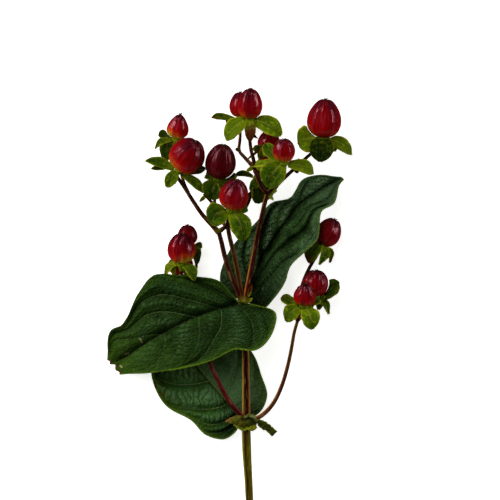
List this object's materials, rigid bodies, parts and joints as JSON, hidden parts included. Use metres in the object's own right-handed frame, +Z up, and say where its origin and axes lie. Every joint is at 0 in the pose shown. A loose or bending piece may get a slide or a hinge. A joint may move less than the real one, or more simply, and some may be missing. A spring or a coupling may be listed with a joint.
{
  "type": "hypericum berry stem",
  "caption": "Cut hypericum stem lying down: woody stem with forked tips, egg-shaped red berries on leafy five-sepal calyces, and broad veined leaves.",
  "frame": {"origin": "centre of the bounding box in plan, on the surface that the stem lies on", "axes": "+Y runs up the stem from its cut end to the berries, +X to the right seen from above, +Z up off the surface"},
  "size_m": [0.0861, 0.1659, 0.027],
  "materials": {
    "bark": "satin",
    "leaf": "satin",
    "torn_leaf": "matte",
    "berry_skin": "gloss",
    "sepal": "satin"
  },
  "bodies": {
    "root": {"stem": "bark", "leaf_front": "leaf", "leaf_upper": "leaf", "leaf_lower": "leaf", "leaf_torn_base": "torn_leaf", "berry_left_small": "berry_skin", "calyx_left_small": "sepal", "berry_left_large": "berry_skin", "calyx_left_large": "sepal", "berry_centre_dark": "berry_skin", "calyx_centre_dark": "sepal", "berry_centre_front": "berry_skin", "calyx_centre_front": "sepal", "berry_crown_back": "berry_skin", "calyx_crown_back": "sepal", "berry_crown_front": "berry_skin", "calyx_crown_front": "sepal", "berry_right_round": "berry_skin", "calyx_right_round": "sepal", "berry_right_tall": "berry_skin", "calyx_right_tall": "sepal", "berry_back_upper": "berry_skin", "calyx_back_upper": "sepal", "berry_back_lower": "berry_skin", "calyx_back_lower": "sepal", "berry_right_side_top": "berry_skin", "calyx_right_side_top": "sepal", "berry_right_side_back": "berry_skin", "calyx_right_side_back": "sepal", "berry_right_side_front": "berry_skin", "calyx_right_side_front": "sepal", "berry_left_side_front": "berry_skin", "calyx_left_side_front": "sepal", "berry_left_side_back": "berry_skin", "calyx_left_side_back": "sepal", "berry_left_side_low": "berry_skin", "calyx_left_side_low": "sepal"}
  },
  "joints": []
}
